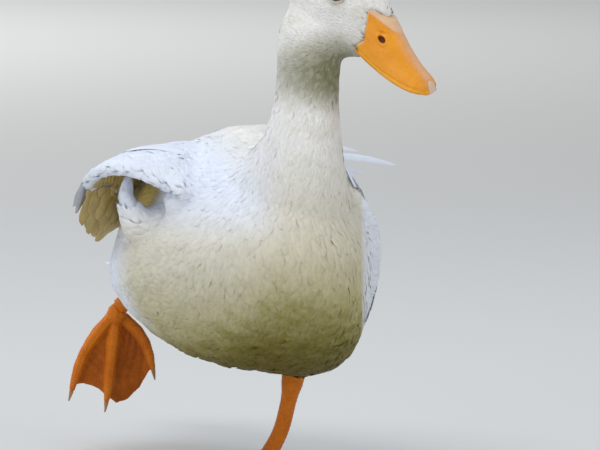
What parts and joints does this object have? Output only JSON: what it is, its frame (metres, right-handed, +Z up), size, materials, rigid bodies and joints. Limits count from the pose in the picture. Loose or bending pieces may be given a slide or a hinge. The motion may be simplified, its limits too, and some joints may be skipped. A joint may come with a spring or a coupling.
{
  "type": "white domestic duck model",
  "caption": "Life-size still model of a white domestic duck walking, one foot lifted behind, head turned to its left and the right wing held a little open.",
  "frame": {"origin": "on the floor, under the middle of the standing foot's sole", "axes": "+Z up, -Y the way the duck walks, +X towards its left side"},
  "size_m": [0.2989, 0.4518, 0.4163],
  "materials": {
    "plumage": "matte, soft feathers",
    "bill": "satin, waxy skin over horn",
    "bill_nail": "satin horn",
    "leg_skin": "satin, finely scaled skin",
    "claws": "satin horn",
    "eyes": "wet gloss"
  },
  "bodies": {
    "root": {"trunk": "plumage", "neck": "plumage", "head": "plumage", "wing_left": "plumage", "wing_right": "plumage", "primaries_left": "plumage", "primaries_right": "plumage", "tail": "plumage", "eye_left": "eyes", "eye_right": "eyes", "bill_upper": "bill", "bill_lower": "bill", "bill_nail": "bill_nail", "leg_left": "leg_skin", "foot_left": "leg_skin", "leg_right": "leg_skin", "foot_right": "leg_skin", "claw_left_inner": "claws", "claw_left_middle": "claws", "claw_left_outer": "claws", "claw_left_hind": "claws", "claw_right_inner": "claws", "claw_right_middle": "claws", "claw_right_outer": "claws", "claw_right_hind": "claws"}
  },
  "joints": []
}
